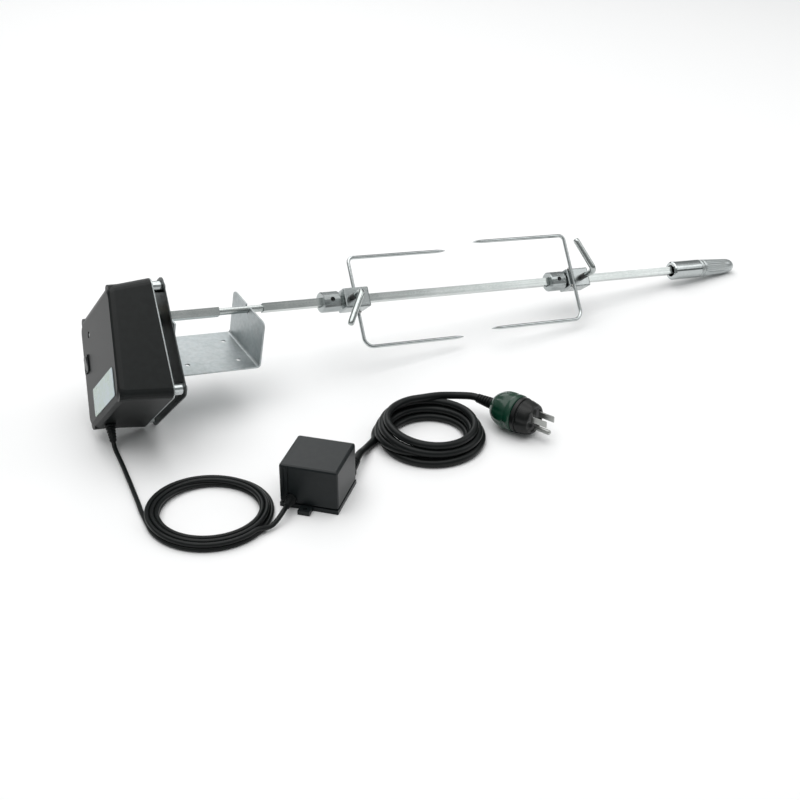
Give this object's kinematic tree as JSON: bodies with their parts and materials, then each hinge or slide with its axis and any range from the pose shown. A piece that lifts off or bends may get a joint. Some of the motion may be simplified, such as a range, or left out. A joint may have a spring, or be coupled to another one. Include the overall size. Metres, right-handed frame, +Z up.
{
  "type": "rotisserie kit",
  "caption": "Barbecue rotisserie kit: boxy geared motor on a spaced plate, bent bracket, square spit with forks and handle, in-line transformer, coiled cords and plug.",
  "frame": {"origin": "middle of the base of the box round the motor, transformer and spit, on the surface the kit lies on", "axes": "+X from the motor to the handle along the level, +Y away from the cords, +Z up"},
  "size_m": [0.7951, 0.3037, 0.1553],
  "materials": {
    "black_plastic": "moulded, satin black",
    "grey_plastic": "dark grey, satin",
    "green_plastic": "bottle green, glossy",
    "cord_rubber": "black cord jacket",
    "chrome": "bright plating",
    "bright_steel": "plain bright steel",
    "galvanised": "galvanised sheet",
    "nylon": "natural nylon",
    "brass": "plain brass",
    "copper": "copper winding",
    "label": "blank film label"
  },
  "bodies": {
    "motor_unit": {"motor_cover": "black_plastic", "motor_base_plate": "bright_steel", "heat_shield_plate": "bright_steel", "spacer_1": "chrome", "spacer_2": "chrome", "spacer_3": "chrome", "spacer_4": "chrome", "shield_screw_1": "bright_steel", "shield_screw_2": "bright_steel", "shield_screw_3": "bright_steel", "shield_screw_4": "bright_steel", "label_plate": "label", "switch_bezel": "black_plastic", "cover_screw": "bright_steel", "motor_gland": "cord_rubber", "gear_frame": "galvanised", "drive_motor": "bright_steel", "output_bush": "brass", "idler_axle": "bright_steel", "transformer_case": "black_plastic", "transformer_base": "black_plastic", "transformer_core": "bright_steel", "transformer_winding": "copper", "lead_gland": "cord_rubber", "mains_gland": "cord_rubber", "lead_tube_motor": "cord_rubber", "lead_coil": "cord_rubber", "lead_tube_transformer": "cord_rubber", "mains_tube_transformer": "cord_rubber", "mains_coil": "cord_rubber", "mains_tube_plug": "cord_rubber", "plug_relief": "cord_rubber", "plug_body": "green_plastic", "plug_face": "black_plastic", "plug_blade_1": "brass", "plug_blade_2": "brass", "plug_earth_pin": "brass"},
    "output_drive": {"output_drive": "bright_steel"},
    "idler": {"idler_gear": "nylon"},
    "rotor": {"rotor": "bright_steel"},
    "spit": {"spit_rod": "chrome", "handle_sleeve": "chrome", "handle_grip": "grey_plastic"},
    "collar_left": {"stop_collar_left": "bright_steel"},
    "collar_left_screw": {"set_screw_left": "bright_steel"},
    "collar_right": {"stop_collar_right": "bright_steel"},
    "collar_right_screw": {"set_screw_right": "bright_steel"},
    "fork_left": {"fork_hub_left": "bright_steel", "fork_wire_left": "chrome"},
    "fork_left_screw": {"thumb_screw_left": "chrome"},
    "fork_right": {"fork_hub_right": "bright_steel", "fork_wire_right": "chrome"},
    "fork_right_screw": {"thumb_screw_right": "chrome"},
    "bracket": {"support_bracket": "galvanised"},
    "switch_rocker": {"switch_rocker": "grey_plastic"}
  },
  "joints": [
    {"name": "drive_spin", "type": "hinge", "parent": "motor_unit", "child": "output_drive", "pos_m": [-0.3194, 0.0923, 0.1037], "axis": [0.991, 0, -0.134], "continuous": true},
    {"name": "idler_spin", "type": "hinge", "parent": "motor_unit", "child": "idler", "pos_m": [-0.321, 0.08126, 0.09188], "axis": [0.991, 0, -0.134], "continuous": true},
    {"name": "rotor_spin", "type": "hinge", "parent": "motor_unit", "child": "rotor", "pos_m": [-0.32348, 0.0641, 0.07352], "axis": [0.991, 0, -0.134], "continuous": true},
    {"name": "spit_pull", "type": "slide", "parent": "output_drive", "child": "spit", "axis": [0.991, 0, -0.134], "range_m": [0, 0.028]},
    {"name": "collar_left_slide", "type": "slide", "parent": "spit", "child": "collar_left", "axis": [0.991, 0, -0.134], "range_m": [-0.06, 0.0015]},
    {"name": "collar_right_slide", "type": "slide", "parent": "spit", "child": "collar_right", "axis": [0.991, 0, -0.134], "range_m": [-0.1, 0.0015]},
    {"name": "fork_left_slide", "type": "slide", "parent": "spit", "child": "fork_left", "axis": [0.991, 0, -0.134], "range_m": [-0.0015, 0.1]},
    {"name": "fork_right_slide", "type": "slide", "parent": "spit", "child": "fork_right", "axis": [0.991, 0, -0.134], "range_m": [-0.0015, 0.11]},
    {"name": "set_screw_left_turn", "type": "hinge", "parent": "collar_left", "child": "collar_left_screw", "pos_m": [-0.13557, 0.0923, 0.07885], "axis": [0.0843, -0.7771, 0.6236], "range_deg": [0, 360]},
    {"name": "set_screw_right_turn", "type": "hinge", "parent": "collar_right", "child": "collar_right_screw", "pos_m": [0.13942, 0.0923, 0.04166], "axis": [0.0843, -0.7771, 0.6236], "range_deg": [0, 360]},
    {"name": "thumb_screw_left_turn", "type": "hinge", "parent": "fork_left", "child": "fork_left_screw", "pos_m": [-0.11328, 0.0923, 0.07583], "axis": [0.0843, -0.7771, 0.6236], "range_deg": [0, 360]},
    {"name": "thumb_screw_right_turn", "type": "hinge", "parent": "fork_right", "child": "fork_right_screw", "pos_m": [0.17015, 0.0923, 0.03751], "axis": [0.0843, -0.7771, 0.6236], "range_deg": [0, 360]},
    {"name": "bracket_swing", "type": "hinge", "parent": "motor_unit", "child": "bracket", "pos_m": [-0.3194, 0.0923, 0.1037], "axis": [0.991, 0, -0.134], "range_deg": [-90, 90]},
    {"name": "switch_rock", "type": "hinge", "parent": "motor_unit", "child": "switch_rocker", "pos_m": [-0.383, 0.1088, 0.06196], "axis": [0.091, -0.7337, 0.6733], "range_deg": [-14, 0]}
  ],
  "couplings": [
    {"joint": "idler_spin", "follows": "drive_spin", "ratio": -2.2},
    {"joint": "rotor_spin", "follows": "drive_spin", "ratio": 8.8}
  ]
}
